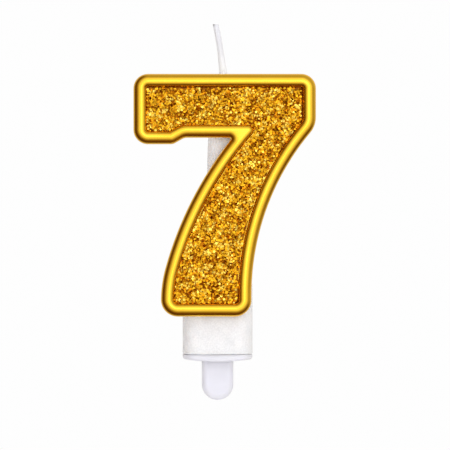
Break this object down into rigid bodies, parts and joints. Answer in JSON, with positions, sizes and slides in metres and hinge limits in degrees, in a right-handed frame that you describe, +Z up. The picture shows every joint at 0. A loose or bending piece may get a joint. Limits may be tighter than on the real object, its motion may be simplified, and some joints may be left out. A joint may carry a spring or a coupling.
{
  "type": "numeral birthday candle",
  "caption": "Birthday candle shaped as the numeral seven: gilt rounded rim, sunk glitter panel, white wax column and foot at the back, free wick, and a push-in holder for a cake.",
  "frame": {"origin": "centre line of the holder's blade, at the lowest point of the plate's domed underside, where the candle meets the icing", "axes": "+X to the right of someone reading the numeral, +Y away from that reader towards the candle's plain back, +Z up; the blade points along -Z"},
  "size_m": [0.0451, 0.0142, 0.0932],
  "materials": {
    "holder_plastic": "moulded translucent white plastic, slightly blue, smooth",
    "wax": "cast white paraffin wax, satin, slightly translucent",
    "gilt_shell": "vacuum-metallised gold, satin",
    "glitter": "gold glitter flakes set in clear glue",
    "wick": "braided cotton dipped in wax"
  },
  "bodies": {
    "holder": {"cake_holder": "holder_plastic"},
    "candle": {"wax_body": "wax", "numeral_shell": "gilt_shell", "glitter_inlay": "glitter", "wick_core": "wick"},
    "wick": {"wick_tip": "wick"}
  },
  "joints": [
    {"name": "candle_lift", "type": "slide", "parent": "holder", "child": "candle", "axis": [0, 0, 1], "range_m": [0, 0.009]},
    {"name": "wick_bend", "type": "hinge", "parent": "candle", "child": "wick", "pos_m": [0.00155, -0.0013, 0.0695], "axis": [0, 1, 0], "range_deg": [-60, 60]}
  ]
}
